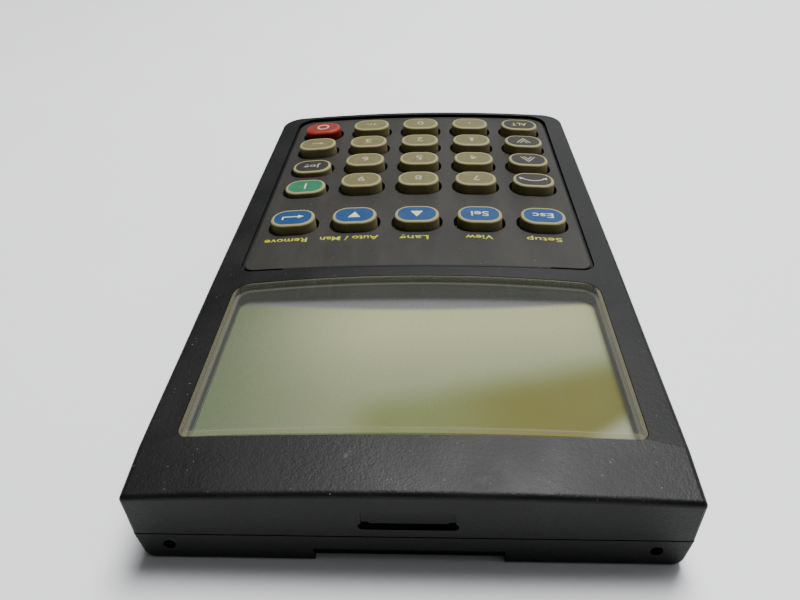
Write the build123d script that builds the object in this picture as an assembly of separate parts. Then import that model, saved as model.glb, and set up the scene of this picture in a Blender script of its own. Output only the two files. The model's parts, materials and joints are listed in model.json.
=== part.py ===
from build123d import *

import os
from math import atan2, degrees, radians, tan

# Handheld operator terminal: a flat plastic case with a wide display and a field of rubber keys.
# The frame: +Z out of the face, +Y towards the display end, +X to the reader's right. The origin is
# on the rear face, under the middle of the case. All sizes are in millimetres.

os.makedirs("parts", exist_ok=True)

# ---- Case -------------------------------------------------------------------------------------------
body_w = 69.6  # width at the parting plane; the draft widens it to 70 at the face
body_l = 120.2  # length at the parting plane
part_z = 5.0  # height of the parting plane between the two shells
face_z = 14.5  # height of the face over the keys, on the centreline
wall = 1.8
front_draft = 1.2
rear_draft = 9.0
display_corner_r = 0.5
keypad_corner_r = 4.6
face_edge_r = 0.8
rear_edge_r = 1.5
fit = 0.1  # gap between moulded pieces that nest
parting_gap = 0.2  # shadow line between the shells
foot_edge_r = 0.4  # edges of the display end's wall below the parting plane
inside_corner_r = 0.6

# ---- The face: three crowned surfaces that meet in two soft creases ----------------------------------
crown_r = 420.0
bend_y = 12.25  # where the display surface starts to fall away
display_fall = 0.594  # degrees
chin_y = 47.95  # the chin's crease on the centreline
chin_crown_r = 560.0
chin_fall = 5.2  # degrees
front_skin = 2.2
rooms_y = 13.35  # where the key room meets the display room inside the front shell
cut_top_z = 20.0  # cutters run up to here, well clear of the face

# ---- Keys --------------------------------------------------------------------------------------------
pitch_x = 11.765
pitch_y = 10.01
soft_row_y = -2.80  # the row of menu keys
first_row_y = -18.13  # the first of the four rows below it
cap_w, cap_l, cap_r = 8.3, 6.3, 2.9
cap_slope = 0.035  # how much the cap widens per unit of height, on each side
key_rise = 1.65  # cap above the face surface
guarded_rise = 0.65  # start and jog keys, set low against a stray touch
cap_edge_r = 0.4
stop_edge_r = 0.9
hole_w, hole_l, hole_r = 9.7, 7.4, 3.4
flange_w, flange_l, flange_r = 10.7, 8.4, 3.6
flange_t = 0.85
plunger_w, plunger_l, plunger_r = 6.4, 4.4, 2.0
plunger_z0 = 9.3
pill_t = 0.3
web_gap = 0.25  # clearance round a plunger in the mat
web_w, web_t = 1.2, 0.65  # thin web round each plunger, and how far it is cut away below
cap_head_room = 0.6  # spare height over a cap before the crown trims it

# ---- Keypad recess in the face ------------------------------------------------------------------------
recess_w = 61.4
recess_y0, recess_y1 = -58.35, 12.95
recess_near_r, recess_far_r = 2.4, 4.2
recess_deep, recess_shallow = 0.6, 0.1
groove_w, groove_d = 0.6, 0.4
groove_end_x = 23.0

# ---- Window and display --------------------------------------------------------------------------------
window_w = 60.6
window_y0, window_y1 = 16.75, 51.35
window_bow = 1.1  # how far the lower edge bows towards the keys
window_low_r, window_top_r = 3.0, 1.5
window_t, window_proud, window_bevel = 1.5, 0.25, 0.6
window_bevel_d = 0.3
gasket_t = 0.2
ledge_w = 0.85
ledge_z = 10.85  # flat underside of the ledge that carries the window
view_w, view_l, view_y = 58.8, 33.0, 32.4
lcd_w, lcd_y0, lcd_y1 = 61.6, 14.6, 53.4
lcd_sheet_t = 0.4
tab_xs = (-24.0, -8.0, 8.0, 24.0)

# ---- Display stack, each sheet's top from the light guide up -------------------------------------------
guide_top_z, diffuser_top_z = 8.85, 9.0
rear_glass_top_z, front_glass_top_z, polarizer_top_z = 9.6, 10.2, 10.38
guide_x0, guide_x1, guide_y0, guide_y1 = -29.2, 28.6, 18.4, 49.6
led_x0, led_x1, led_l, led_top_z = 28.7, 29.7, 3.0, 8.8
polarizer_w, zebra_w, zebra_l = 60.0, 58.0, 2.0
glass_step = 2.4  # how much shorter the rear glass is at each long side

# ---- Board ---------------------------------------------------------------------------------------------
board_w, board_y0, board_y1 = 63.4, -57.4, 56.4
board_z0, board_z1 = 6.4, 8.0
mat_w, mat_y0, mat_y1 = 58.0, -52.8, 2.2
mat_t = 1.0
pad_t = 0.05
post_r, post_xs, post_ys = 1.5, (-24.0, 0.0, 24.0), (-36.0, 21.5, 49.5)
rib_ys, rib_t, rib_h, rib_x = (-45.0, -20.0, 30.0), 1.0, 0.8, 33.2

# ---- Chips on the board's underside --------------------------------------------------------------------
leg_w, leg_l, leg_t, leg_out = 0.3, 1.0, 0.35, 0.3

# ---- Screws and bosses --------------------------------------------------------------------------
case_screw_xy = [(-29.5, 8.0), (29.5, 8.0), (-29.5, -54.6), (29.5, -54.6)]
case_boss_r, case_pilot_r, case_shank_r, case_head_r = 2.7, 1.25, 1.2, 2.3
rear_boss_r, rear_bore_r, counterbore_r, counterbore_d = 2.9, 1.45, 2.5, 1.9
boss_meet_z = 5.2
board_screw_xy = [(-17.65, -10.5), (17.65, -10.5), (-17.65, -55.2), (17.65, -55.2), (0.0, 8.2)]
board_boss_r, board_pilot_r, board_shank_r, board_head_r = 2.1, 1.0, 0.95, 1.9

# ---- Cradle interfaces at the display end ----------------------------------------------------------------
slot_w, slot_h, slot_z, slot_d = 12.4, 1.25, 7.0, 2.4
slot_lip_x, slot_lip_rise, slot_lip_d = 4.9, 0.0, 0.45
slot_ramp_z, slot_ramp_d = 9.7, 0.3
notch_w, notch_h, notch_d = 24.2, 2.3, 1.0
pin_hole_x, pin_hole_z, pin_hole_r = 30.5, 2.85, 0.8

# ---- Cable port at the keypad end ------------------------------------------------------------------------
port_z = 6.7
port_hole_r, shield_r, shield_bore_r, core_r = 5.45, 5.3, 4.9, 4.15
port_front_y, port_back_y = -59.7, -52.6
contact_hole_r, contact_r = 0.45, 0.25
port_notch_w, port_notch_y = 14.4, -51.2

# ---- Rear label -------------------------------------------------------------------------------------------
label_w, label_l, label_y, label_recess, label_t = 44.0, 30.0, -8.0, 0.3, 0.2


def block(w, l, z0, z1, r=0.0, x=0.0, y=0.0, taper=0.0):
    """An upright block between two heights, with rounded corners where r is given."""
    face = RectangleRounded(w, l, r) if r else Rectangle(w, l)
    return extrude(Pos(x, y, z0) * face, z1 - z0, taper=taper)


def span(x0, x1, y0, y1, z0, z1, r=0.0):
    """A block given by its limits."""
    return block(x1 - x0, y1 - y0, z0, z1, r, (x0 + x1) / 2, (y0 + y1) / 2)


def disc(r, z0, z1, x=0.0, y=0.0):
    """An upright cylinder between two heights."""
    return Pos(x, y, (z0 + z1) / 2) * Cylinder(r, z1 - z0)


def rod_y(r, y0, y1, x, z):
    """A cylinder along Y."""
    return Pos(x, (y0 + y1) / 2, z) * Rot(90, 0, 0) * Cylinder(r, y1 - y0)


def under_crown(z_top, radius=crown_r, y_ref=0.0, fall=0.0):
    """All that lies under a crowned surface whose ridge passes z_top at y_ref and falls towards +Y."""
    barrel = Pos(0, 0, -radius) * Rot(90, 0, 0) * Cylinder(radius, 300)
    return Pos(0, y_ref, z_top) * Rot(-fall, 0, 0) * barrel


def display_z(y):
    """Height of the display surface's ridge at y."""
    return face_z - (y - bend_y) * tan(radians(display_fall))


def crown_drop(x):
    """How far the crown has fallen at x from the centreline."""
    return x * x / (2 * crown_r)


def case_outline(shrink=0.0, stretch=0.0):
    """Plan of the case: round corners at the keypad end, and square ones at the display end."""
    plan = Pos(0, stretch / 2) * Rectangle(body_w - 2 * shrink, body_l - 2 * shrink + stretch)
    ends = plan.vertices().group_by(Axis.Y)
    plan = fillet(ends[0], max(keypad_corner_r - shrink, 0.6))
    return fillet(plan.vertices().group_by(Axis.Y)[-1], inside_corner_r) if shrink else plan


def recess_outline(shrink=0.0):
    """Plan of the sunk keypad field."""
    plan = Pos(0, (recess_y0 + recess_y1) / 2) * Rectangle(
        recess_w - 2 * shrink, recess_y1 - recess_y0 - 2 * shrink
    )
    plan = fillet(plan.vertices().group_by(Axis.Y)[0], recess_far_r - shrink)
    return fillet(plan.vertices().group_by(Axis.Y)[-1], recess_near_r - shrink)


def window_outline(shrink=0.0):
    """Plan of the window: straight at the display end, bowed towards the keys."""
    half = window_w / 2 - shrink
    low, top = window_y0 + shrink, window_y1 - shrink
    edge = Polyline((-half, low), (-half, top), (half, top), (half, low))
    bow = ThreePointArc((half, low), (0, low - window_bow), (-half, low))
    plan = make_face(edge + bow)
    plan = fillet(plan.vertices().group_by(Axis.Y)[0], max(window_low_r - shrink, 0.5))
    return fillet(plan.vertices().group_by(Axis.Y)[-1], max(window_top_r - shrink, 0.5))


def key_places():
    """Every key's name, place, rise above the face and top edge radius, row by row as read."""
    names = [
        ["key_esc", "key_select", "key_up", "key_down", "key_enter"],
        ["key_direction", "key_7", "key_8", "key_9", "key_start"],
        ["key_raise", "key_4", "key_5", "key_6", "key_jog"],
        ["key_lower", "key_1", "key_2", "key_3", "key_back"],
        ["key_alt", "key_point", "key_0", "key_sign", "key_stop"],
    ]
    places = []
    for row, line in enumerate(names):
        y = soft_row_y if row == 0 else first_row_y - (row - 1) * pitch_y
        for column, name in enumerate(line):
            rise = guarded_rise if name in ("key_start", "key_jog") else key_rise
            edge = stop_edge_r if name == "key_stop" else cap_edge_r
            places.append((name, (column - 2) * pitch_x, y, rise, edge))
    return places


def display_end_edges(shape, min_height):
    """The upright edges at the display end's two corners."""
    tall = [e for e in shape.edges() if e.bounding_box().size.Z > min_height]
    return [e for e in tall if e.center().Y > body_l / 2 - 2 and abs(e.center().X) > body_w / 2 - 2]


def front_shell():
    """Upper half of the case, with the keypad field, the window seat, the bosses and the latch slot."""
    outer = extrude(Pos(0, 0, part_z) * case_outline(), 12, taper=-front_draft)
    outer &= under_crown(face_z)
    outer &= under_crown(face_z, y_ref=bend_y, fall=display_fall)
    outer &= under_crown(display_z(chin_y), chin_crown_r, chin_y, chin_fall)
    rim = [
        e
        for e in outer.edges()
        if e.bounding_box().min.Z > part_z + 4
        and (abs(e.center().X) > body_w / 2 - 3 or abs(e.center().Y) > body_l / 2 - 2)
    ]
    outer = fillet(rim, face_edge_r)
    outer = fillet(display_end_edges(outer, min_height=4.0), display_corner_r)

    inner = extrude(Pos(0, 0, part_z) * case_outline(wall), 12)
    keys_room = inner & span(-40, 40, -70, rooms_y, part_z, cut_top_z) & under_crown(face_z - front_skin)
    display_room = inner & span(-40, 40, rooms_y, 70, part_z, ledge_z)
    shell = outer - keys_room - display_room

    seat_floor = under_crown(face_z - window_t + window_proud - gasket_t, y_ref=bend_y, fall=display_fall)
    seat = extrude(Pos(0, 0, 5) * window_outline(), 12) - seat_floor
    shell = shell - seat - extrude(Pos(0, 0, 5) * window_outline(ledge_w), 12)

    slope = degrees(atan2(recess_deep - recess_shallow, recess_y1 - recess_y0))
    floor_z = face_z - recess_deep
    floor = under_crown(floor_z, y_ref=recess_y0, fall=-slope)
    groove_floor = under_crown(floor_z - groove_d, y_ref=recess_y0, fall=-slope)
    shell -= extrude(Pos(0, 0, 12) * recess_outline(), 6) - floor
    ring = extrude(Pos(0, 0, 12) * (recess_outline() - recess_outline(groove_w)), 6)
    ring -= span(-groove_end_x, groove_end_x, recess_y1 - 5, recess_y1 + 1, 10, cut_top_z)
    shell -= ring - groove_floor

    for _, x, y, _, _ in key_places():
        shell -= block(hole_w, hole_l, part_z, 18, hole_r, x, y)

    skin = under_crown(face_z - front_skin + 0.4)
    for x, y in case_screw_xy:
        shell += disc(case_boss_r, boss_meet_z, 16, x, y) & skin
        shell -= disc(case_pilot_r, part_z, 10.6, x, y)
    for x, y in board_screw_xy:
        shell += disc(board_boss_r, board_z1, 16, x, y) & skin
        shell -= disc(board_pilot_r, board_z1, 11.0, x, y)

    end_y = body_l / 2
    pocket_x, pocket_y = slot_w / 2 + 1.2, end_y - slot_d - 1.0
    shell += span(-pocket_x, pocket_x, pocket_y, end_y - 1.0, slot_z - 2, slot_z + 2)
    slot = Pos(0, end_y, slot_z) * Rot(90, 0, 0) * extrude(SlotOverall(slot_w, slot_h), slot_d, both=True)
    slot -= span(-slot_lip_x, slot_lip_x, 50, end_y - slot_lip_d, slot_z + slot_lip_rise, slot_z + 2)
    ramp_top = slot_ramp_z - slot_z
    ramp = Polyline((0.4, ramp_top), (0.4, 0.2), (-slot_ramp_d, 0.2), (0.0, ramp_top), (0.4, ramp_top))
    ramp = extrude(Plane.YZ * make_face(ramp), slot_w / 2 - 0.4, both=True)
    shell = shell - slot - Pos(0, end_y + 0.05, slot_z) * ramp

    shell -= rod_y(port_hole_r, -70, port_back_y + 0.2, 0, port_z)
    return shell


def rear_shell():
    """Lower half of the case, with a nesting lip, screw bosses, board posts and the cradle notch."""
    top_z = part_z - parting_gap
    outer = Pos(0, 0, top_z) * mirror(extrude(case_outline(stretch=6.0), top_z, taper=rear_draft), Plane.XY)
    rim = [e for e in outer.edges() if e.bounding_box().max.Z < 0.01]
    outer = fillet(rim, rear_edge_r)
    outer &= span(-50, 50, -80, body_l / 2, -1, 10)
    foot = [e for e in outer.edges() if e.bounding_box().min.Y > body_l / 2 - 0.01]
    foot = [e for e in foot if e.bounding_box().min.Z < top_z - 0.01]
    outer = fillet(foot, foot_edge_r)
    shell = outer - extrude(Pos(0, 0, wall) * case_outline(wall), part_z)
    shell += extrude(Pos(0, 0, part_z - 1.2) * (case_outline(wall - 0.2) - case_outline(wall + 0.9)), 1.2)
    shell += extrude(Pos(0, 0, part_z - 1) * (case_outline(wall + fit) - case_outline(wall + 0.9)), 2.2)

    for x, y in case_screw_xy:
        shell += disc(rear_boss_r, wall - 0.5, boss_meet_z - fit, x, y)
    for x, y in case_screw_xy:
        shell -= disc(case_boss_r + fit, boss_meet_z - fit, 8, x, y)
        shell -= disc(counterbore_r, -1, counterbore_d, x, y)
        shell -= disc(rear_bore_r, -1, 8, x, y)

    for x in post_xs:
        for y in post_ys:
            shell += disc(post_r, wall - 0.5, board_z0 - fit, x, y)
    for y in rib_ys:
        shell += span(-rib_x, rib_x, y - rib_t / 2, y + rib_t / 2, wall - 0.5, wall + rib_h)

    end_y = body_l / 2
    shell -= span(-slot_w / 2 - 1.4, slot_w / 2 + 1.4, end_y - slot_d - 1.2, end_y, slot_z - 2 - fit, 9)
    shell -= span(-notch_w / 2, notch_w / 2, end_y - notch_d, end_y + 2, -1, notch_h)
    for side in (-1, 1):
        shell -= rod_y(pin_hole_r, end_y - wall - 0.7, end_y + 1, side * pin_hole_x, pin_hole_z)
    shell -= rod_y(port_hole_r, -70, port_back_y + 0.2, 0, port_z)
    shell -= block(label_w, label_l, -1, label_recess, 1.5, 0, label_y)
    return shell


def display_window():
    """Clear window, crowned like the face and standing a little proud, with a bevel round its top."""
    top = under_crown(face_z + window_proud, y_ref=bend_y, fall=display_fall)
    low = under_crown(face_z + window_proud - window_t, y_ref=bend_y, fall=display_fall)
    pane = (extrude(Pos(0, 0, 5) * window_outline(fit), 14) & top) - low
    upper = pane.faces().sort_by(Axis.Z)[-1]
    return chamfer(upper.edges(), window_bevel, window_bevel_d, reference=upper)


def window_gasket():
    """Thin adhesive frame under the window's rim."""
    top = under_crown(face_z + window_proud - window_t, y_ref=bend_y, fall=display_fall)
    low = under_crown(face_z + window_proud - window_t - gasket_t, y_ref=bend_y, fall=display_fall)
    frame = extrude(Pos(0, 0, 5) * (window_outline(0.2) - window_outline(ledge_w)), 12)
    return (frame & (Pos(0, 0, -0.03) * top)) - (Pos(0, 0, 0.03) * low)


def cap_outline(grow):
    """Plan of a key cap, grown by the draft below its top."""
    return RectangleRounded(cap_w + 2 * grow, cap_l + 2 * grow, cap_r + grow)


def key(x, y, rise, edge_r):
    """One silicone key: cap, flange that keeps it in, plunger, and the carbon pill under it."""
    cap_z = face_z + rise
    foot_z = face_z - front_skin - crown_drop(x) - flange_t
    rim_z = cap_z - crown_drop(x)
    foot = Pos(x, y, foot_z) * cap_outline((rim_z - foot_z) * cap_slope)
    head = Pos(x, y, rim_z + cap_head_room) * cap_outline(-cap_head_room * cap_slope)
    cap = loft([foot, head]) & under_crown(cap_z)
    cap = fillet(cap.faces().sort_by(Axis.Z)[-1].edges(), edge_r)
    under_skin = under_crown(face_z - front_skin - fit)
    flange = block(flange_w, flange_l, plunger_z0, face_z, flange_r, x, y) & under_skin
    flange -= under_crown(face_z - front_skin - fit - flange_t)
    body = cap + flange
    body += block(plunger_w, plunger_l, plunger_z0, foot_z + 0.2, plunger_r, x, y)
    pill = block(plunger_w - 1.6, plunger_l - 1.2, plunger_z0 - pill_t, plunger_z0, 1.4, x, y)
    return Compound(children=[body, pill])


def keypad_mat():
    """Silicone sheet on the board, with a thin web round each key's plunger."""
    sheet = span(-mat_w / 2, mat_w / 2, mat_y0, mat_y1, board_z1, board_z1 + mat_t, 2.0)
    web = (plunger_w + 2 * web_w, plunger_l + 2 * web_w)
    hole = (plunger_w + 2 * web_gap, plunger_l + 2 * web_gap)
    for _, x, y, _, _ in key_places():
        sheet -= block(*web, board_z1 - 1, board_z1 + web_t, 3.0, x, y)
        sheet -= block(*hole, board_z1, board_z1 + mat_t + 1, plunger_r + web_gap, x, y)
    for x, y in case_screw_xy:
        sheet -= disc(case_boss_r + 0.4, 0, 20, x, y)
    for x, y in board_screw_xy:
        sheet -= disc(board_boss_r + 0.3, 0, 20, x, y)
    return sheet - span(-port_notch_w / 2, port_notch_w / 2, -60, port_notch_y - 0.3, 0, 20)


def main_board():
    """Circuit board that carries the display, the key contacts and the port."""
    board = span(-board_w / 2, board_w / 2, board_y0, board_y1, board_z0, board_z1, 1.5)
    for x, y in case_screw_xy:
        board -= disc(case_boss_r + 0.3, 0, 20, x, y)
    for x, y in board_screw_xy:
        board -= disc(board_shank_r + 0.15, 0, 20, x, y)
    for x, y in bezel_tab_places():
        board -= span(x - 1.1, x + 1.1, y - 0.45, y + 0.45, 0, 20)
    return board - span(-port_notch_w / 2, port_notch_w / 2, -60, port_notch_y, 0, 20)


def bezel_tab_places():
    """Middles of the display frame's twist tabs, along its two long sides."""
    return [(x, y) for x in tab_xs for y in (lcd_y0 + lcd_sheet_t / 2, lcd_y1 - lcd_sheet_t / 2)]


def lcd_bezel():
    """Pressed metal frame that clamps the display glass to the board, with twist tabs."""
    top_z = ledge_z - 0.05
    box = span(-lcd_w / 2, lcd_w / 2, lcd_y0, lcd_y1, board_z1, top_z, 0.6)
    room = span(
        -lcd_w / 2 + lcd_sheet_t,
        lcd_w / 2 - lcd_sheet_t,
        lcd_y0 + lcd_sheet_t,
        lcd_y1 - lcd_sheet_t,
        board_z1 - 1,
        top_z - lcd_sheet_t,
        0.3,
    )
    frame = box - room - block(view_w, view_l, 0, 20, 0.5, 0, view_y)
    for x, y in bezel_tab_places():
        frame += span(x - 0.8, x + 0.8, y - 0.2, y + 0.2, board_z0 - 0.6, board_z1 + 0.5)
    return frame


def contact_pads():
    """Gold pads on the board, a split pair under every key."""
    pads = []
    for _, x, y, _, _ in key_places():
        for side in (-1, 1):
            pads.append(block(1.9, 3.2, board_z1, board_z1 + pad_t, 0.5, x + side * 1.2, y))
    return Compound(children=pads)


def flat_chip(x, y, w, l, h, legs, pitch, four_sides=False):
    """A leaded chip on the board's underside."""
    body = block(w, l, board_z0 - h, board_z0 - 0.15, 0.3, x, y)
    heights = (board_z0 - leg_t, board_z0)
    for i in range(legs):
        at = (i - (legs - 1) / 2) * pitch
        for side in (-1, 1):
            body += block(leg_w, leg_l, *heights, x=x + at, y=y + side * (l / 2 + leg_out))
            if four_sides:
                body += block(leg_l, leg_w, *heights, x=x + side * (w / 2 + leg_out), y=y + at)
    return body


def crystal():
    """A can crystal on its flange."""
    flange_z = board_z0 - 0.4
    can = block(10.5, 4.2, 3.4, flange_z, 2.05, 10.0, -10.0)
    return can + block(11.3, 5.0, flange_z, board_z0, 2.4, 10.0, -10.0)


def small_parts():
    """Chip resistors and ceramic capacitors on the board's underside."""
    spots = [(-20 + 4 * i, 3.0) for i in range(5)] + [(6 + 3 * i, -28.0) for i in range(5)]
    spots += [(-12.0, -30 - 3 * i) for i in range(4)]
    return Compound(children=[block(1.2, 2.0, board_z0 - 0.6, board_z0, 0.15, x, y) for x, y in spots])


def capacitors():
    """Three aluminium can capacitors on square bases."""
    cans = []
    for x, y in ((-22.0, -44.0), (-14.0, -44.0), (15.0, -44.5)):
        base = block(5.2, 5.2, board_z0 - 0.6, board_z0, 0.5, x, y)
        can = disc(2.4, 2.9, board_z0 - 0.6, x, y)
        cans.append(base + fillet(can.faces().sort_by(Axis.Z)[0].edges(), 0.4))
    return Compound(children=cans)


def contact_places():
    """The port's eight contacts: two, three and three, as seen from outside."""
    rows = ((2.0, (-1.3, 1.3)), (0.2, (-2.6, 0.0, 2.6)), (-1.8, (-2.0, 0.0, 2.0)))
    return [(x, port_z + dz) for dz, xs in rows for x in xs]


def port_socket():
    """Insulating core of the round cable port, with a keying slot and eight contact holes."""
    core = rod_y(core_r, port_front_y + 0.2, port_back_y, 0, port_z)
    core += rod_y(shield_bore_r - 0.02, port_back_y - 1.0, port_back_y, 0, port_z)
    core -= span(-1.1, 1.1, port_front_y - 1, port_front_y + 5.0, port_z - core_r - 1, port_z - core_r + 1.1)
    for x, z in contact_places():
        core -= rod_y(contact_hole_r, port_front_y - 1, port_front_y + 5.4, x, z)
        core -= rod_y(contact_r + 0.02, port_front_y, port_back_y + 1, x, z)
    return core


def port_shield():
    """Metal sleeve round the port."""
    sleeve = rod_y(shield_r, port_front_y, port_back_y, 0, port_z)
    sleeve -= rod_y(shield_bore_r, port_front_y - 1, port_back_y + 1, 0, port_z)
    return sleeve


def port_contacts():
    """Eight contacts whose tails drop behind the socket and turn under the board."""
    pins = []
    tail_y = port_back_y + 0.6
    tail_z = board_z0 - 0.3
    for x, z in contact_places():
        pin = rod_y(contact_r, port_front_y + 3.0, tail_y, x, z)
        pin += Pos(x, tail_y, (z + tail_z) / 2) * Box(0.5, 0.4, abs(z - tail_z) + 0.5)
        pin += span(x - 0.25, x + 0.25, tail_y - 0.2, port_notch_y + 1.2, tail_z - 0.25, tail_z + 0.29)
        pins.append(pin)
    return Compound(children=pins)


def cross_recess(x, y, z, size, depth):
    """The cross cut into a screw head, opening downwards at z."""
    arm = Box(size, size / 4, depth) + Box(size / 4, size, depth)
    return Pos(x, y, z + depth / 2) * arm


def case_screws():
    """Four long screws that hold the two shells together."""
    screws = []
    for x, y in case_screw_xy:
        head = disc(case_head_r, 0.3, counterbore_d, x, y)
        head = fillet(head.faces().sort_by(Axis.Z)[0].edges(), 0.4)
        shank = disc(case_shank_r, counterbore_d, 10.0, x, y)
        shank = chamfer(shank.faces().sort_by(Axis.Z)[-1].edges(), 0.6)
        screws.append(head + shank - cross_recess(x, y, 0.2, 2.4, 1.0))
    return Compound(children=screws)


def board_screws():
    """Five short screws that hold the board to the front shell."""
    screws = []
    for x, y in board_screw_xy:
        head = disc(board_head_r, board_z0 - 1.2, board_z0, x, y)
        head = fillet(head.faces().sort_by(Axis.Z)[0].edges(), 0.35)
        shank = disc(board_shank_r, board_z0, 10.6, x, y)
        shank = chamfer(shank.faces().sort_by(Axis.Z)[-1].edges(), 0.4)
        screws.append(head + shank - cross_recess(x, y, board_z0 - 1.3, 2.0, 0.8))
    return Compound(children=screws)


def display_stack():
    """The sheets of the display by name, from the polarizer down to the backlight."""
    x1 = lcd_w / 2 - lcd_sheet_t - 0.2
    y0 = lcd_y0 + lcd_sheet_t + 0.2
    y1 = lcd_y1 - lcd_sheet_t - 0.2
    half_polarizer, half_zebra = polarizer_w / 2, zebra_w / 2
    rear_y0, rear_y1 = y0 + glass_step, y1 - glass_step
    guide = (guide_x0, guide_x1, guide_y0, guide_y1)
    zebras = [
        span(-half_zebra, half_zebra, y, y + zebra_l, board_z1, rear_glass_top_z)
        for y in (y0 + 0.1, y1 - 0.1 - zebra_l)
    ]
    leds = [
        span(led_x0, led_x1, y - led_l / 2, y + led_l / 2, board_z1, led_top_z)
        for y in (23.0, 30.0, 38.0, 45.0)
    ]
    return {
        "lcd_polarizer": span(
            -half_polarizer, half_polarizer, y0 + 0.2, y1 - 2.6, front_glass_top_z, polarizer_top_z
        ),
        "lcd_front_glass": span(-x1, x1, y0, y1, rear_glass_top_z, front_glass_top_z),
        "lcd_rear_glass": span(-x1, x1, rear_y0, rear_y1, diffuser_top_z, rear_glass_top_z),
        "lcd_zebra_strips": Compound(children=zebras),
        "lcd_light_guide": span(*guide, board_z1, guide_top_z),
        "lcd_diffuser": span(*guide, guide_top_z, diffuser_top_z),
        "lcd_backlight_leds": Compound(children=leds),
    }


def write(name, shape):
    """Writes one node."""
    export_step(shape, f"parts/{name}.step")


write("housing_front", front_shell())
write("housing_rear", rear_shell())
write("display_window", display_window())
write("window_gasket", window_gasket())
write("lcd_bezel", lcd_bezel())
for name, sheet in display_stack().items():
    write(name, sheet)
write("main_board", main_board())
write("key_contacts", contact_pads())
write("microcontroller", flat_chip(-8.0, -18.0, 12.0, 12.0, 1.7, 14, 0.8, four_sides=True))
write("memory_chip", flat_chip(10.0, -19.0, 5.0, 4.0, 1.6, 4, 1.27))
write("transceiver_chip", flat_chip(2.0, -40.5, 9.0, 4.0, 1.7, 7, 1.27))
write(
    "lcd_driver_chips",
    Compound(children=[flat_chip(x, 35.0, 18.0, 12.0, 1.9, 22, 0.8) for x in (-14.0, 14.0)]),
)
write("crystal", crystal())
write("regulator", flat_chip(24.0, -24.0, 6.4, 6.0, 2.2, 3, 2.2))
write("capacitors", capacitors())
write("resistors", small_parts())
write("port_socket", port_socket())
write("port_shield", port_shield())
write("port_contacts", port_contacts())
write("keypad_mat", keypad_mat())
write("case_screws", case_screws())
write("board_screws", board_screws())
label_heights = (label_recess - label_t, label_recess)
write("rear_label", block(label_w - 0.4, label_l - 0.4, *label_heights, 1.3, 0, label_y))
for name, x, y, rise, edge_r in key_places():
    write(name, key(x, y, rise, edge_r))
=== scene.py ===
# %% [markdown]
# # A handheld operator terminal
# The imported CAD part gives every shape. This lesson adds what the solids can't say: how each surface
# looks, the print on the keys and the panel, the light, and the camera. Lengths are in metres, and
# `mm` turns a drawing's millimetres into them. The frame's axes are +X to the reader's right, +Y
# towards the display end and +Z out of the face.

# %%
import json
from math import radians

import bpy
from mathutils import Matrix, Vector


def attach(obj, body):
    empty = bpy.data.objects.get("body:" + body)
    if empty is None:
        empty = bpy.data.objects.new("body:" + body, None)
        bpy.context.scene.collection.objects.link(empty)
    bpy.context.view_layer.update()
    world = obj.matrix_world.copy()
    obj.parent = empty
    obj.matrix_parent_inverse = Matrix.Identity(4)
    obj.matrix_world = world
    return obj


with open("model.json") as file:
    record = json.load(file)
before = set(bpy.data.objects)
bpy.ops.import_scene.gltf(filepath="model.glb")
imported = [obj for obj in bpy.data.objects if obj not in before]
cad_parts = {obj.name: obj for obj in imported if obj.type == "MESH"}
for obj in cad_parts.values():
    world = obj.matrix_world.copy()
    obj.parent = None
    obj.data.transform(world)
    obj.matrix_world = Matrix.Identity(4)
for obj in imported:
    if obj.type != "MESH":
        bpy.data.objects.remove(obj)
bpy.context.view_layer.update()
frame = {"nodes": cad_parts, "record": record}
mm = 0.001

# %% [markdown]
# ## The sizes the looks depend on
# They repeat the part's driving dimensions, in millimetres, so that a printed rim follows the key it
# is printed on.

# %%
PITCH_X, PITCH_Y = 11.765, 10.01
SOFT_ROW_Y, FIRST_ROW_Y = -2.80, -18.13
CAP_W, CAP_L, CAP_R = 8.3, 6.3, 2.9
FACE_Z, CROWN_R = 14.5, 420.0
KEY_RISE, GUARDED_RISE = 1.65, 0.65
RECESS_HALF_W, RECESS_Y0, RECESS_Y1 = 30.7, -58.35, 12.95
RECESS_Z0, RECESS_SLOPE = 13.90, 0.00701  # the sunk floor's ridge at RECESS_Y0, and its climb
WINDOW_HALF_W, WINDOW_Y0, WINDOW_Y1, WINDOW_BOW = 30.2, 16.85, 51.25, 1.1

ROWS = [
    ["key_esc", "key_select", "key_up", "key_down", "key_enter"],
    ["key_direction", "key_7", "key_8", "key_9", "key_start"],
    ["key_raise", "key_4", "key_5", "key_6", "key_jog"],
    ["key_lower", "key_1", "key_2", "key_3", "key_back"],
    ["key_alt", "key_point", "key_0", "key_sign", "key_stop"],
]


def key_place(name):
    """Middle of a key and the height of its top's ridge, in millimetres."""
    row = next(r for r, names in enumerate(ROWS) if name in names)
    x = (ROWS[row].index(name) - 2) * PITCH_X
    y = SOFT_ROW_Y if row == 0 else FIRST_ROW_Y - (row - 1) * PITCH_Y
    rise = GUARDED_RISE if name in ("key_start", "key_jog") else KEY_RISE
    return x, y, FACE_Z + rise


print(sum(len(names) for names in ROWS), "keys in", len(ROWS), "rows")

# %% [markdown]
# ## Shader sums that read like sums
# A `Val` wraps one output socket. Its operators add the Math node they stand for, so a mask is
# written as a formula. Positions come from Object coordinates, scaled to millimetres.

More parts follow.
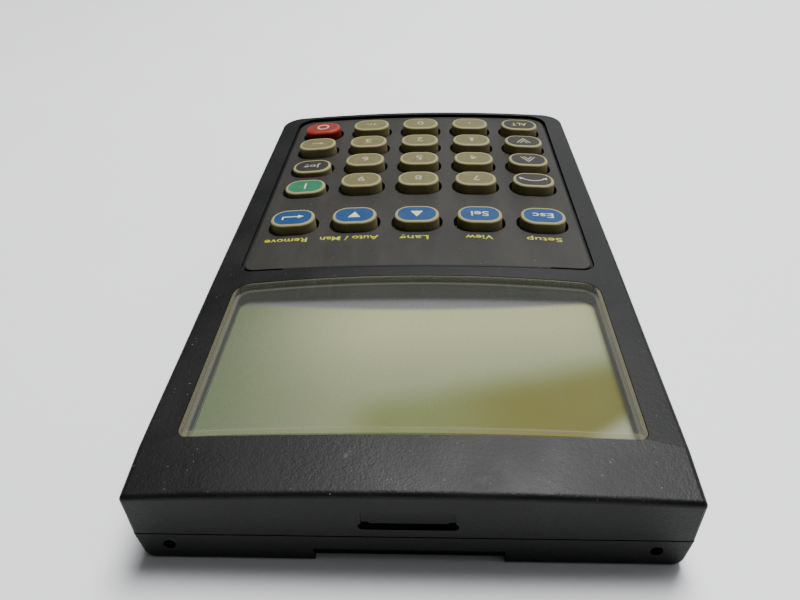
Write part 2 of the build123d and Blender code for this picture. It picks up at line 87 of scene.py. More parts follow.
# %%
class Val:
    """A number in a shader graph, with the usual operators."""

    def __init__(self, tree, socket):
        self.tree, self.socket = tree, socket

    def math(self, operation, *others, clamp=False):
        """Adds a Math node of this value and the others."""
        node = self.tree.nodes.new("ShaderNodeMath")
        node.operation, node.use_clamp = operation, clamp
        for slot, value in zip(node.inputs, (self, *others)):
            feed(self.tree, slot, value)
        return Val(self.tree, node.outputs[0])

    def __add__(self, other):
        return self.math("ADD", other)

    def __sub__(self, other):
        return self.math("SUBTRACT", other)

    def __rsub__(self, other):
        return (self * -1.0) + other

    def __mul__(self, other):
        return self.math("MULTIPLY", other)

    def __truediv__(self, other):
        return self.math("DIVIDE", other)

    __radd__, __rmul__ = __add__, __mul__

    def abs(self):
        return self.math("ABSOLUTE")

    def round(self):
        return self.math("ROUND")

    def min(self, other):
        return self.math("MINIMUM", other)

    def max(self, other):
        return self.math("MAXIMUM", other)

    def sqrt(self):
        return self.math("SQRT")

    def ramp(self, low, high):
        """0 at low and 1 at high, smooth between; low may be the larger."""
        node = self.tree.nodes.new("ShaderNodeMapRange")
        node.interpolation_type = "SMOOTHSTEP"
        feed(self.tree, node.inputs["Value"], self)
        if low < high:
            node.inputs["From Min"].default_value, node.inputs["From Max"].default_value = low, high
        else:
            node.inputs["From Min"].default_value, node.inputs["From Max"].default_value = high, low
            node.inputs["To Min"].default_value, node.inputs["To Max"].default_value = 1.0, 0.0
        return Val(self.tree, node.outputs["Result"])


def feed(tree, slot, value):
    """Links a Val into an input, or sets the input to a plain number or colour."""
    if isinstance(value, Val):
        tree.links.new(value.socket, slot)
    elif isinstance(value, (tuple, list)):
        slot.default_value = (*value, 1.0) if len(value) == 3 and len(slot.default_value) == 4 else value
    else:
        slot.default_value = value


# %% [markdown]
# `Look` is one material being written. It hands out the position, noise and colour mixes, and
# `finish` puts the results on a Principled shader. Anything that doesn't vary is a plain constant.

# %%
class Look:
    """A material under construction."""

    def __init__(self, name):
        self.material = bpy.data.materials.new(name)
        self.material.use_nodes = True
        self.tree = self.material.node_tree
        self.shader = self.tree.nodes["Principled BSDF"]
        self.coords = self.tree.nodes.new("ShaderNodeTexCoord").outputs["Object"]
        parts = self.tree.nodes.new("ShaderNodeSeparateXYZ")
        self.tree.links.new(self.coords, parts.inputs[0])
        self.x, self.y, self.z = (Val(self.tree, parts.outputs[i]) * 1000.0 for i in range(3))

    def noise(self, size, detail=2.0, rough=0.5, stretch=(1.0, 1.0, 1.0)):
        """Noise whose features are about size millimetres across, from 0 to 1."""
        mapping = self.tree.nodes.new("ShaderNodeMapping")
        mapping.inputs["Scale"].default_value = Vector(stretch)
        self.tree.links.new(self.coords, mapping.inputs["Vector"])
        node = self.tree.nodes.new("ShaderNodeTexNoise")
        node.inputs["Scale"].default_value = 1000.0 / size
        node.inputs["Detail"].default_value = detail
        node.inputs["Roughness"].default_value = rough
        self.tree.links.new(mapping.outputs[0], node.inputs["Vector"])
        return Val(self.tree, node.outputs["Fac"])

    def mix(self, low, high, factor):
        """Colour mix: low where factor is 0, high where it is 1."""
        node = self.tree.nodes.new("ShaderNodeMix")
        node.data_type = "RGBA"
        feed(self.tree, node.inputs["Factor"], factor)
        feed(self.tree, node.inputs[6], low)
        feed(self.tree, node.inputs[7], high)
        return Val(self.tree, node.outputs[2])

    def finish(self, colour, rough, bump, depth, metal=0.0, alpha=1.0, ior=1.5, specular=0.5):
        """Puts the results on the shader; depth is the bump's height in millimetres."""
        feed(self.tree, self.shader.inputs["Base Color"], colour)
        feed(self.tree, self.shader.inputs["Roughness"], rough)
        feed(self.tree, self.shader.inputs["Metallic"], metal)
        feed(self.tree, self.shader.inputs["Alpha"], alpha)
        self.shader.inputs["IOR"].default_value = ior
        self.shader.inputs["Specular IOR Level"].default_value = specular
        if bump is not None:
            node = self.tree.nodes.new("ShaderNodeBump")
            node.inputs["Strength"].default_value = 1.0
            node.inputs["Distance"].default_value = depth * mm
            feed(self.tree, node.inputs["Height"], bump)
            self.tree.links.new(node.outputs[0], self.shader.inputs["Normal"])
        return self.material


def darken(colour, share):
    """The colour times a share."""
    return tuple(value * share for value in colour)


def rounded_box(x, y, half_x, half_y, radius):
    """Signed distance to a rounded rectangle about the origin: negative inside."""
    qx = x.abs() - (half_x - radius)
    qy = y.abs() - (half_y - radius)
    ax, ay = qx.max(0.0), qy.max(0.0)
    return (ax * ax + ay * ay).sqrt() + qx.max(qy).min(0.0) - radius


# %% [markdown]
# ## The case
# The moulding is charcoal with a fine spark-eroded grain, made of two noises that feed one bump.
# Handling has polished it unevenly. The keypad's sunk field is a paler brown, with a near-black line of
# painted shade along its near edge, at its step, and the chin has a scuff and some dust. Each of these
# is a mask on one material, because the real case is one moulding.

# %%
CASE_DARK, CASE_PALE = (0.0040, 0.0042, 0.0042), (0.0085, 0.0085, 0.0080)
FIELD_DARK, FIELD_PALE = (0.0195, 0.0187, 0.0162), (0.0275, 0.0262, 0.0225)
# The first colour here is painted shade: the near-black of the line along the sunk field's near edge.
EDGE_SHADE, SCUFF, DUST = (0.0012, 0.0012, 0.0012), (0.085, 0.083, 0.075), (0.22, 0.21, 0.18)
FIELD_CORNER_R = 3.0
EDGE_SHADE_FROM_Y = 10.5  # the painted shade line runs only along the sunk field's near edge
SCUFF_Y, SCUFF_HALF_W, SCUFF_HALF_L, SCUFF_R = 54.5, 9.0, 2.5, 2.4


def case_look():
    """Charcoal moulding with its sunk field, painted shade at the field's near edge, scuff and dust."""
    look = Look("case_plastic")
    grain = look.noise(0.28, 3.0, 0.6)
    pores = look.noise(0.75, 2.0, 0.5)
    wear = look.noise(14.0, 3.0, 0.55)
    streaks = look.noise(5.0, 3.0, 0.6, (1.0, 0.25, 1.0))
    on_face = look.z.ramp(12.0, 12.6)
    middle_y = (RECESS_Y0 + RECESS_Y1) / 2
    half_l = (RECESS_Y1 - RECESS_Y0) / 2
    outline = rounded_box(look.x, look.y - middle_y, RECESS_HALF_W, half_l, FIELD_CORNER_R)
    field = outline.ramp(-0.5, -0.8) * on_face
    near_edge = look.y.ramp(EDGE_SHADE_FROM_Y - 0.5, EDGE_SHADE_FROM_Y + 0.5)
    # Painted shade: a near-black line along the sunk field's near edge, where its step is.
    edge_shade = (outline + 0.15).abs().ramp(0.32, 0.10) * near_edge * on_face
    plain = look.mix(CASE_DARK, CASE_PALE, wear.ramp(0.3, 0.75))
    panel = look.mix(FIELD_DARK, FIELD_PALE, streaks.ramp(0.35, 0.7))
    colour = look.mix(look.mix(plain, panel, field), EDGE_SHADE, edge_shade * 0.85)
    scuffed = rounded_box(look.x, look.y - SCUFF_Y, SCUFF_HALF_W, SCUFF_HALF_L, SCUFF_R).ramp(4.0, -1.0)
    scuff = look.noise(3.5, 4.0, 0.65).ramp(0.60, 0.74) * scuffed
    colour = look.mix(colour, SCUFF, scuff * look.z.ramp(11.0, 12.0) * 0.55)
    specks = look.noise(0.32, 1.0, 0.4).ramp(0.765, 0.79) * look.z.ramp(11.5, 12.5)
    colour = look.mix(colour, DUST, specks * 0.5)
    rough = 0.41 + wear.ramp(0.25, 0.8) * 0.12 + field * 0.10 + edge_shade * 0.35
    return look.finish(colour, rough, grain * 0.6 + pores * 0.5, depth=0.060, specular=0.195)


# %% [markdown]
# ## The keys
# Every cap is the same shape on one grid, so one formula finds the distance to the nearest cap's
# outline. Inside it lies the print, round that a bare cream rim. The side is painted shade: a darker
# copy of the rim's colour, painted darker still as it goes down into its hole.

# %%
# The second colour is painted shade: a darker copy of the cream, for the caps' sides.
CREAM, CREAM_SHADED_SIDE, PLUNGER_BLACK = (0.27, 0.245, 0.115), (0.250, 0.218, 0.110), (0.02, 0.02, 0.02)


def key_look(name, print_colour, first_row=False, rise=KEY_RISE, rim=CREAM, side=CREAM_SHADED_SIDE):
    """Moulded silicone with a printed top; rise is the cap's height above the face."""
    look = Look(name)
    columns = look.x / PITCH_X
    x = look.x - columns.round() * PITCH_X
    if first_row:
        y = look.y - SOFT_ROW_Y
    else:
        rows = (look.y - FIRST_ROW_Y) / PITCH_Y
        y = (rows - rows.round()) * PITCH_Y
    edge = rounded_box(x, y, CAP_W / 2, CAP_L / 2, CAP_R)
    height = look.z + look.x * look.x / (2 * CROWN_R) - (FACE_Z + rise)
    mottle = look.noise(1.6, 3.0, 0.6)
    worn = look.noise(0.5, 2.0, 0.6)
    printed = edge.ramp(-0.50, -0.62) * height.ramp(-0.45, -0.2)
    printed = printed * (1.0 - worn.ramp(0.70, 0.76) * 0.5)
    # Painted shade: the side is darker than the rim, and darker still further down into the hole.
    shaded_wall = look.mix(side, darken(side, 0.45), height.ramp(-1.5, -3.4))
    shaded_wall = look.mix(shaded_wall, PLUNGER_BLACK, look.z.ramp(9.4, 9.2))
    skin = look.mix(shaded_wall, rim, height.ramp(-0.62, -0.28))
    ink = look.mix(darken(print_colour, 0.82), print_colour, mottle.ramp(0.3, 0.7))
    rough = 0.50 - printed * 0.06 + mottle * 0.08
    return look.finish(look.mix(skin, ink, printed), rough, worn * 0.5 + mottle, depth=0.012, specular=0.18)


# %% [markdown]
# ## The window
# It is clear in the middle and cloudy along its moulded rim. A low alpha keeps the display visible
# without slow glass, and the rim's mask is the distance in from the window's bowed outline.

# %%
CLEAR_TINT, RIM_TINT = (0.26, 0.27, 0.24), (0.27, 0.26, 0.17)


def window_look():
    """Acrylic with smears and fine scratches."""
    look = Look("window")
    low = look.x * look.x * (WINDOW_BOW / WINDOW_HALF_W**2) + (WINDOW_Y0 - WINDOW_BOW)
    edge = (WINDOW_HALF_W - look.x.abs()).min(WINDOW_Y1 - look.y).min(look.y - low)
    rim = edge.ramp(0.75, 0.62)
    line = edge.ramp(1.0, 0.9) * edge.ramp(0.75, 0.85)
    smear = look.noise(9.0, 4.0, 0.6, (1.0, 0.6, 1.0))
    scratch = look.noise(0.5, 1.0, 0.3, (1.0, 0.04, 1.0)).ramp(0.70, 0.74)
    alpha = 0.055 + smear * 0.045 + rim * 0.30 + line * 0.06 + scratch * 0.04
    rough = 0.06 + smear.ramp(0.35, 0.8) * 0.10 + rim * 0.14
    return look.finish(look.mix(CLEAR_TINT, RIM_TINT, rim), rough, None, 0.0, alpha=alpha, ior=1.49)


# %% [markdown]
# ## The display's film
# The film is satin and grey-green. Its paleness is partly painted reflection: it is painted paler where
# the sky's glare lies and darker to the +X side, where the sky is dark. Towards one corner a wedge turns
# olive, then brown, and is smoother than the rest. Past the display area's arched edge it is a plain
# grey, painted lighter next to the rim to fill the shadow of the ledge round the window.

# %%
# These three are partly painted reflection: paler where the sky's glare lies, darker on the +X side under
# the dark sky.
FILM_NEAR, FILM_FAR_WITH_GLARE, FILM_SHADED_SIDE = (0.200, 0.222, 0.105), (0.365, 0.380, 0.205), (0.082, 0.112, 0.050)
OLIVE, BROWN, FILM_CORNER = (0.130, 0.158, 0.030), (0.120, 0.112, 0.001), (0.27, 0.29, 0.17)
# The first border colour is painted light, filling the ledge's shadow on the film next to the window's rim.
BORDER_FILL_LIGHT, BORDER = (0.26, 0.26, 0.27), (0.140, 0.142, 0.148)
WEDGE_SLOPE, WEDGE_Y = 0.27, 38.0  # the wedge's edge climbs from WEDGE_Y at x = 0
CORNER_X, CORNER_Y = -29.0, 48.5
ARCH_Y, ARCH_RISE, ARCH_HALF_W_SQUARED = 18.2, 1.6, 840.0


def film_look():
    """Satin film over the glass."""
    look = Look("polarizer")
    cloud = look.noise(16.0, 3.0, 0.5)
    fine = look.noise(0.35, 2.0, 0.5)
    # Painted reflection: paler where the sky's glare lies, and darker towards +X, where the sky is dark.
    pale = look.mix(FILM_NEAR, FILM_FAR_WITH_GLARE, (look.x * 0.1 - look.y).ramp(-44.0, -20.0))
    colour = look.mix(FILM_SHADED_SIDE, pale, look.x.ramp(34.0, 4.0))
    across = look.y - look.x * WEDGE_SLOPE - WEDGE_Y
    browned = (look.x * -1.0 + cloud * 6.0).ramp(4.0, 20.0) * across.ramp(2.0, 8.0)
    wedge = (across + cloud * 2.0).ramp(0.0, 7.5) * look.x.ramp(12.0, 3.0)
    colour = look.mix(colour, look.mix(OLIVE, BROWN, browned), wedge)
    corner = (look.x - CORNER_X).max(0.0) + (CORNER_Y - look.y).max(0.0) * 1.3
    in_corner = (corner + cloud * 3.0).ramp(9.0, 3.5)
    colour = look.mix(colour, FILM_CORNER, in_corner)
    arch = look.y - ARCH_Y - (1.0 - look.x * look.x / ARCH_HALF_W_SQUARED) * ARCH_RISE
    # Painted light: the border is paler next to the rim, filling the ledge's shadow there.
    border = look.mix(BORDER_FILL_LIGHT, BORDER, look.y.ramp(16.2, 18.4))
    colour = look.mix(border, colour, arch.ramp(-0.6, 0.8))
    rough = 0.24 + fine * 0.08 - wedge * (1.0 - in_corner) * 0.15
    return look.finish(colour, rough, fine, depth=0.0015, specular=0.21)


# %% [markdown]
# ## Everything else
# Plain finishes, each with a little unevenness so that no surface is dead flat in tone.

# %%
def plain_look(name, colour, rough=0.5, vary=0.15, size=3.0, depth=0.01, alpha=1.0):
    """An even finish that a noise makes a little uneven, by the share vary."""
    look = Look(name)
    noise = look.noise(size, 3.0, 0.55)
    uneven = look.mix(darken(colour, 1 - vary), colour, noise)
    return look.finish(uneven, rough - 0.05 + noise * 0.1, noise, depth, alpha=alpha)


def brushed_look(name, colour, rough=0.3):
    """Metal with fine lines along X."""
    look = Look(name)
    lines = look.noise(0.3, 2.0, 0.5, (0.05, 1.0, 1.0))
    return look.finish(
        look.mix(darken(colour, 0.8), colour, lines), rough + lines * 0.12, lines, depth=0.004, metal=1.0
    )


# %% [markdown]
# One finish for each material slot of the part. The jog and start keys stand lower than the rest, so
# their print starts lower too.
#
# The dark metal round the display is painted, so it has no metallic share.

# %%
JET = (0.024, 0.023, 0.019)
# The second red is painted shade: a darker copy of the red rim, for the red key's side.
RED_RIM, RED_SHADED_SIDE = (0.29, 0.030, 0.019), (0.20, 0.016, 0.010)


LOOKS = {
    "case_plastic": case_look(),
    "window": window_look(),
    "adhesive": plain_look("adhesive", (0.02, 0.02, 0.02), 0.8),
    "bezel_metal": plain_look("bezel_metal", (0.070, 0.072, 0.074), 0.34, size=6.0),
    "polarizer": film_look(),
    "lcd_glass": plain_look("lcd_glass", (0.35, 0.38, 0.35), 0.1, alpha=0.5),
    "zebra_rubber": plain_look("zebra_rubber", (0.05, 0.05, 0.05), 0.7),
    "light_guide": plain_look("light_guide", (0.72, 0.75, 0.62), 0.3),
    "diffuser": plain_look("diffuser", (0.82, 0.82, 0.79), 0.6),
    "led": plain_look("led", (0.80, 0.74, 0.38), 0.25),
    "board": plain_look("board", (0.028, 0.13, 0.062), 0.35, vary=0.25),
    "gold": brushed_look("gold", (0.83, 0.62, 0.26), 0.25),
    "chip": plain_look("chip", (0.032, 0.032, 0.035), 0.5),
    "crystal_can": brushed_look("crystal_can", (0.62, 0.62, 0.60)),
    "capacitor_can": brushed_look("capacitor_can", (0.72, 0.73, 0.74)),
    "ceramic": plain_look("ceramic", (0.30, 0.23, 0.16), 0.55),
    "port_plastic": plain_look("port_plastic", (0.018, 0.018, 0.018), 0.45),
    "port_metal": brushed_look("port_metal", (0.66, 0.66, 0.64), 0.22),
    "silicone": plain_look("silicone", (0.34, 0.32, 0.24), 0.5),
    "screw_steel": brushed_look("screw_steel", (0.52, 0.52, 0.49), 0.32),
    "label": plain_look("label", (0.50, 0.50, 0.48), 0.38, vary=0.08),
    "key_blue": key_look("key_blue", (0.009, 0.052, 0.148), first_row=True),
    "key_grey": key_look("key_grey", (0.136, 0.122, 0.052)),
    "key_black": key_look("key_black", JET),
    "key_green": key_look("key_green", (0.022, 0.145, 0.076), rise=GUARDED_RISE),
    "key_red": key_look("key_red", (0.210, 0.026, 0.018), rim=RED_RIM, side=RED_SHADED_SIDE),
}
jog_look = key_look("key_black_low", JET, rise=GUARDED_RISE)

for part in frame["record"]["subparts"]:
    mesh = frame["nodes"][part["node"]].data
    mesh.materials.clear()
    mesh.materials.append(jog_look if part["node"] == "key_jog" else LOOKS[part["material_slot"]])

# %% [markdown]
# ## Print that follows the surface
# Legends start as flat outlines. One Geometry Nodes tree lays them all on the crown: it lifts every
# point to the surface's height there, then gives the ink its thickness. Its inputs are the ridge's
# height, the crown's radius, and the slope along Y for the keypad's floor.

# %%
def drape_tree():
    """The Geometry Nodes tree that lays a flat outline on a crowned surface."""
    tree = bpy.data.node_groups.new("lay_on_crown", "GeometryNodeTree")
    face = tree.interface
    face.new_socket("Geometry", in_out="INPUT", socket_type="NodeSocketGeometry")
    for name in ("Ridge Height", "Crown Radius", "Slope", "Slope From Y", "Thickness"):
        face.new_socket(name, in_out="INPUT", socket_type="NodeSocketFloat")
    face.new_socket("Material", in_out="INPUT", socket_type="NodeSocketMaterial")
    face.new_socket("Geometry", in_out="OUTPUT", socket_type="NodeSocketGeometry")
    given, result = tree.nodes.new("NodeGroupInput"), tree.nodes.new("NodeGroupOutput")
    place = tree.nodes.new("GeometryNodeInputPosition")
    split, join = tree.nodes.new("ShaderNodeSeparateXYZ"), tree.nodes.new("ShaderNodeCombineXYZ")
    tree.links.new(place.outputs[0], split.inputs[0])

    def calc(operation, a, b):
        """One Math node."""
        node = tree.nodes.new("ShaderNodeMath")
        node.operation = operation
        for slot, value in zip(node.inputs, (a, b)):
            if isinstance(value, float):
                slot.default_value = value
            else:
                tree.links.new(value, slot)
        return node.outputs[0]

    across = calc("MULTIPLY", split.outputs["X"], split.outputs["X"])
    drop = calc("DIVIDE", across, calc("MULTIPLY", given.outputs["Crown Radius"], 2.0))
    along = calc("SUBTRACT", split.outputs["Y"], given.outputs["Slope From Y"])
    climb = calc("MULTIPLY", along, given.outputs["Slope"])
    height = calc("ADD", calc("SUBTRACT", given.outputs["Ridge Height"], drop), climb)
    tree.links.new(split.outputs["X"], join.inputs["X"])
    tree.links.new(split.outputs["Y"], join.inputs["Y"])
    tree.links.new(height, join.inputs["Z"])
    move = tree.nodes.new("GeometryNodeSetPosition")
    tree.links.new(given.outputs["Geometry"], move.inputs["Geometry"])
    tree.links.new(join.outputs[0], move.inputs["Position"])
    thicken = tree.nodes.new("GeometryNodeExtrudeMesh")
    thicken.inputs["Individual"].default_value = False
    thicken.inputs["Offset"].default_value = Vector((0, 0, 1))
    tree.links.new(move.outputs[0], thicken.inputs["Mesh"])
    tree.links.new(given.outputs["Thickness"], thicken.inputs["Offset Scale"])
    real = tree.nodes.new("GeometryNodeRealizeInstances")
    paint = tree.nodes.new("GeometryNodeSetMaterial")
    tree.links.new(thicken.outputs["Mesh"], real.inputs[0])
    tree.links.new(real.outputs[0], paint.inputs["Geometry"])
    tree.links.new(given.outputs["Material"], paint.inputs["Material"])
    tree.links.new(paint.outputs[0], result.inputs[0])
    return tree


DRAPE = drape_tree()
INPUT_ID = {i.name: i.identifier for i in DRAPE.interface.items_tree if i.in_out == "INPUT"}
INK_T, INK_SUNK = 0.025, 0.005  # ink thickness, and how much of it lies under the surface
print(len(INPUT_ID), "inputs on", DRAPE.name)

# %% [markdown]
# `lay` runs the tree on one outline, keeps the result as a plain mesh, and makes it ride on a body.
# A key's legend rides on its key, so it goes down with it.

# %%
def lay(name, flat, body, ink, ridge, slope=0.0, slope_from=0.0):
    """Lays a flat mesh on the crown and makes it part of a body."""
    obj = bpy.data.objects.new(name, flat)
    bpy.context.collection.objects.link(obj)
    drape = obj.modifiers.new("lay_on_crown", "NODES")
    drape.node_group = DRAPE
    drape[INPUT_ID["Ridge Height"]] = (ridge - INK_SUNK) * mm
    drape[INPUT_ID["Crown Radius"]] = CROWN_R * mm
    drape[INPUT_ID["Slope"]] = slope
    drape[INPUT_ID["Slope From Y"]] = slope_from * mm
    drape[INPUT_ID["Thickness"]] = INK_T * mm
    drape[INPUT_ID["Material"]] = ink
    bpy.context.view_layer.update()
    solid = bpy.data.meshes.new_from_object(obj.evaluated_get(bpy.context.evaluated_depsgraph_get()))
    obj.modifiers.clear()
    obj.data = solid
    if not solid.materials:
        solid.materials.append(ink)
    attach(obj, body)


# %% [markdown]
# ## Outlines of words and signs
# Words come from the built-in font and are scaled to a stated width and height. Signs are drawn as
# filled shapes and as strokes of even width.

# %%
def flat_mesh(name, shapes):
    """A mesh in the XY plane from filled outlines in millimetres, all facing up."""
    points, faces = [], []
    for shape in shapes:
        area = sum(a[0] * b[1] - b[0] * a[1] for a, b in zip(shape, shape[1:] + shape[:1]))
        shape = shape if area > 0 else shape[::-1]
        faces.append(range(len(points), len(points) + len(shape)))
        points += [(x * mm, y * mm, 0.0) for x, y in shape]
    mesh = bpy.data.meshes.new(name)
    mesh.from_pydata(points, [], faces)
    return mesh


BOLD = 0.014  # how far each outline is swollen, in units of the font's height


def word(name, text, x, y, width, height):
    """Text scaled to a width and height, centred at x, y."""
    curve = bpy.data.curves.new(name, "FONT")
    curve.body = text
    curve.resolution_u = 4
    curve.offset = BOLD
    obj = bpy.data.objects.new(name, curve)
    bpy.context.collection.objects.link(obj)
    bpy.context.view_layer.update()
    mesh = bpy.data.meshes.new_from_object(obj.evaluated_get(bpy.context.evaluated_depsgraph_get()))
    bpy.data.objects.remove(obj)
    bpy.data.curves.remove(curve)
    xs, ys = [v.co.x for v in mesh.vertices], [v.co.y for v in mesh.vertices]
    middle = Vector(((min(xs) + max(xs)) / 2, (min(ys) + max(ys)) / 2, 0))
    grow = Matrix.Diagonal((width * mm / (max(xs) - min(xs)), height * mm / (max(ys) - min(ys)), 1, 1))
    mesh.transform(Matrix.Translation((x * mm, y * mm, 0)) @ grow @ Matrix.Translation(-middle))
    if mesh.polygons and sum(p.normal.z for p in mesh.polygons) < 0:
        mesh.flip_normals()
    return mesh


def stroke(points, width):
    """Quads of even width along a run of points, with mitred corners."""
    points = [Vector(p) for p in points]
    left, right = [], []
    for i, point in enumerate(points):
        before = (point - points[i - 1]).normalized() if i else None
        after = (points[i + 1] - point).normalized() if i + 1 < len(points) else None
        way = ((before or after) + (after or before)).normalized()
        side = Vector((-way.y, way.x))
        reach = width / 2 / max(side.dot(Vector((-(after or before).y, (after or before).x))), 0.4)
        left.append(tuple(point + side * reach))
        right.append(tuple(point - side * reach))
    return [[left[i], left[i + 1], right[i + 1], right[i]] for i in range(len(points) - 1)]


def at(shapes, x, y):
    """The same shapes, moved."""
    return [[(px + x, py + y) for px, py in shape] for shape in shapes]


def arc(radius, start, end, steps=14, drop=0.0):
    """Points along an arc, in degrees anticlockwise from +X."""
    turn = [Matrix.Rotation(radians(start + (end - start) * i / steps), 2) for i in range(steps + 1)]
    return [tuple(m @ Vector((radius, 0)) - Vector((0, drop))) for m in turn]


def head(x, y, direction, size):
    """An arrowhead whose tip is at x, y."""
    way = Vector(direction).normalized()
    side = Vector((-way.y, way.x)) * size * 0.55
    tip = Vector((x, y))
    tail = tip - way * size
    return [[tuple(tip), tuple(tail + side), tuple(tail - side)]]


def chevrons(width, way):
    """Two nested chevrons that point up where way is 1, and down where it is -1."""
    outer = [(-1.5, -1.1 * way), (0.0, 1.25 * way), (1.5, -1.1 * way)]
    inner = [(-0.8, -1.2 * way), (0.0, 0.1 * way), (0.8, -1.2 * way)]
    return stroke(outer, width) + stroke(inner, width)


# %% [markdown]
# ## What each key says
# Signs are in millimetres about the key's middle. A word has its text, width and height.

# %%
SIGNS = {
    "key_up": [[(-1.15, -0.95), (1.15, -0.95), (0.0, 1.15)]],
    "key_down": [[(-1.15, 0.95), (1.15, 0.95), (0.0, -1.15)]],
    "key_enter": stroke([(1.9, 0.75), (1.9, -0.25), (-1.0, -0.25)], 0.30) + head(-2.1, -0.25, (-1, 0), 1.15),
    "key_back": stroke([(1.4, 0.0), (-0.6, 0.0)], 0.26) + head(-1.5, 0.0, (-1, 0), 0.95),
    "key_direction": stroke(arc(3.2, 42, 138, 14, 2.6), 0.34)
    + head(-2.85, -0.95, (-0.55, -0.8), 1.0)
    + head(2.85, -0.95, (0.55, -0.8), 1.0),
    "key_raise": chevrons(0.24, 1),
    "key_lower": chevrons(0.24, -1),
    "key_start": [[(-0.16, -1.25), (0.16, -1.25), (0.16, 1.25), (-0.16, 1.25)]],
    "key_stop": stroke(arc(1.25, 0, 360, 32), 0.42),
    "key_point": [arc(0.30, 0, 345, 12)],
}
WORDS = {
    "key_esc": ("Esc", 3.9, 1.75),
    "key_select": ("Sel", 3.3, 1.85),
    "key_jog": ("Jog", 3.7, 2.1),
    "key_alt": ("ALT", 3.6, 1.7),
    "key_sign": ("+/-", 2.6, 1.6),
    **{f"key_{n}": (str(n), 0.8 if n == 1 else 1.5, 2.15) for n in range(10)},
}
INKS = {
    "key_blue": plain_look("ink_on_blue", (0.56, 0.58, 0.46), 0.5),
    "key_grey": plain_look("ink_on_grey", (0.36, 0.33, 0.22), 0.5),
    "key_black": plain_look("ink_on_black", (0.34, 0.32, 0.22), 0.5),
    "key_green": plain_look("ink_on_green", (0.50, 0.52, 0.38), 0.5),
    "key_red": plain_look("ink_on_red", (0.52, 0.36, 0.25), 0.5),
}
alt_ink = plain_look("ink_alt", (0.42, 0.37, 0.06), 0.5)
slot_of = {part["node"]: part["material_slot"] for part in frame["record"]["subparts"]}
print(len(SIGNS), "signs and", len(WORDS), "words")

# %% [markdown]
# Each legend is laid on its own key. A guarded key's top is lower, and `key_place` knows it.

# %%
for name in (name for row in ROWS for name in row):
    x, y, ridge = key_place(name)
    if name in SIGNS:
        flat = flat_mesh(name + "_sign", at(SIGNS[name], x, y))
    else:
        text, width, height = WORDS[name]
        flat = word(name + "_sign", text, x, y, width, height)
    ink = alt_ink if name == "key_alt" else INKS[slot_of[name]]
    lay("print_" + name, flat, name, ink, ridge)

# %% [markdown]
# The second functions are printed in yellow on the keypad's floor, above the menu keys.

# %%
LABEL_Y = 2.75
yellow = plain_look("ink_yellow", (0.46, 0.45, 0.012), 0.55)
for name, text, left, right in (
    ("setup", "Setup", -26.4, -20.0),
    ("view", "View", -14.0, -8.9),
    ("language", "Lang", -2.2, 3.1),
    ("mode", "Auto / Man", 7.0, 17.8),
    ("remove", "Remove", 20.2, 28.2),
):
    tall = 1.9 if name in ("setup", "language") else 1.5  # a word with a tail is taller overall
    flat = word(name + "_label", text, (left + right) / 2, LABEL_Y, right - left, tall)
    lay("print_label_" + name, flat, "case", yellow, RECESS_Z0, RECESS_SLOPE, RECESS_Y0)

# %% [markdown]
# ## The table
# A plain pale sheet. It isn't part of the object.

# %%
FLOOR_Z = -0.02 * mm  # a hair under the rear face, so the two planes never share a height
FLOOR_HALF = 2.0
corners = [(x * FLOOR_HALF, y * FLOOR_HALF, FLOOR_Z) for x, y in ((-1, -1), (1, -1), (1, 1), (-1, 1))]
floor_mesh = bpy.data.meshes.new("floor")
floor_mesh.from_pydata(corners, [], [(0, 1, 2, 3)])
floor = bpy.data.objects.new("floor", floor_mesh)
bpy.context.collection.objects.link(floor)
floor_mesh.materials.append(plain_look("table", (0.93, 0.937, 0.955), 0.55, vary=0.03, size=40.0, depth=0.0))

# %% [markdown]
# ## The light
# The sky is pale, but dim behind the camera, which keeps the near wall deep. It is almost dark on the
# +X side and a little dimmer far out on the other, so the crown shades off to both. One soft lamp
# hangs overhead, a little beyond the keypad end and towards -X.

# %%
SKY_COLOUR, SKY_STRENGTH = (0.95, 0.97, 1.0, 1.0), 0.88
LAMP_AT, LAMP_TARGET = Vector((-0.13, -0.26, 0.80)), Vector((0.0, 0.02, 0.0))
LAMP_SIZE, LAMP_WATTS = (0.38, 0.42), 13.6

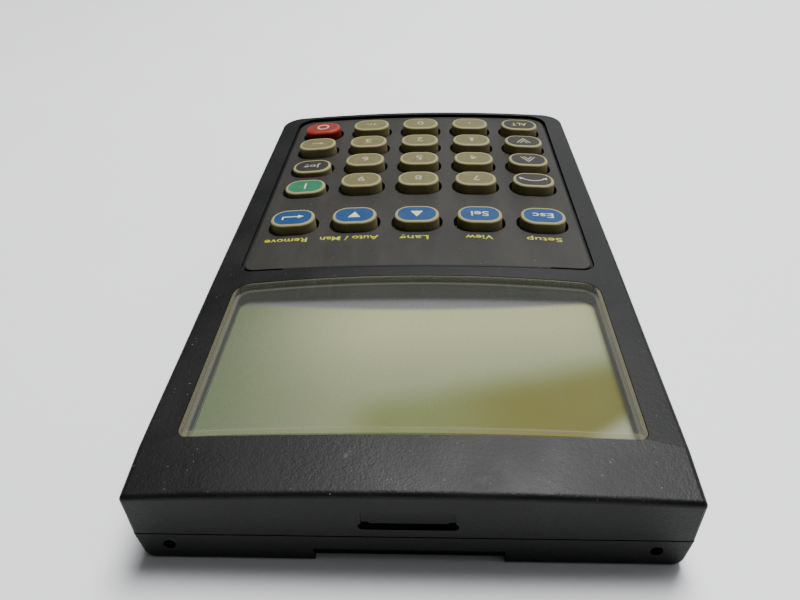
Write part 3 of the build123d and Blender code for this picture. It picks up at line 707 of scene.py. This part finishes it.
world = bpy.data.worlds.new("sky")
bpy.context.scene.world = world
world.use_nodes = True
sky = world.node_tree
ways = sky.nodes.new("ShaderNodeSeparateXYZ")
sky.links.new(sky.nodes.new("ShaderNodeTexCoord").outputs["Generated"], ways.inputs[0])
behind_camera = Val(sky, ways.outputs["Y"]).ramp(-0.15, 0.55)
dark_side = Val(sky, ways.outputs["X"]).ramp(-0.10, 0.32)
far_side = Val(sky, ways.outputs["X"]).ramp(-0.15, -0.60)
strength = (SKY_STRENGTH - behind_camera * 0.76) * (1.0 - dark_side * 0.96) * (1.0 - far_side * 0.35)
sky.links.new(strength.socket, sky.nodes["Background"].inputs["Strength"])
sky.nodes["Background"].inputs["Color"].default_value = SKY_COLOUR

lamp_data = bpy.data.lights.new("overhead", "AREA")
lamp_data.shape, lamp_data.energy = "RECTANGLE", LAMP_WATTS
lamp_data.size, lamp_data.size_y = LAMP_SIZE
lamp = bpy.data.objects.new("overhead", lamp_data)
bpy.context.collection.objects.link(lamp)
facing = (LAMP_TARGET - LAMP_AT).to_track_quat("-Z", "Y").to_matrix().to_4x4()
lamp.matrix_world = Matrix.Translation(LAMP_AT) @ facing
print("the lamp is", round((LAMP_TARGET - LAMP_AT).length, 2), "m away")

# %% [markdown]
# ## The camera
# It stands close to the display end and looks down along the keys. Its axes are given as two
# directions, and the cross products make them square to each other.

# %%
CAMERA_AT = Vector((-3.23, 113.6, 78.8)) * mm
lens = bpy.data.cameras.new("camera")
lens.lens, lens.sensor_width, lens.clip_start = 31.5, 36.0, 5 * mm
camera = bpy.data.objects.new("camera", lens)
bpy.context.collection.objects.link(camera)
right = Vector((-0.9988, -0.0386, -0.0302)).normalized()
forward = Vector((0.0489, -0.8147, -0.5778)).normalized()
up = right.cross(forward).normalized()
right = forward.cross(up).normalized()
aim = Matrix((right, up, -forward)).transposed().to_4x4()
camera.matrix_world = Matrix.Translation(CAMERA_AT) @ aim
bpy.context.scene.camera = camera
print("the camera is", round(CAMERA_AT.length / mm), "mm from the origin")
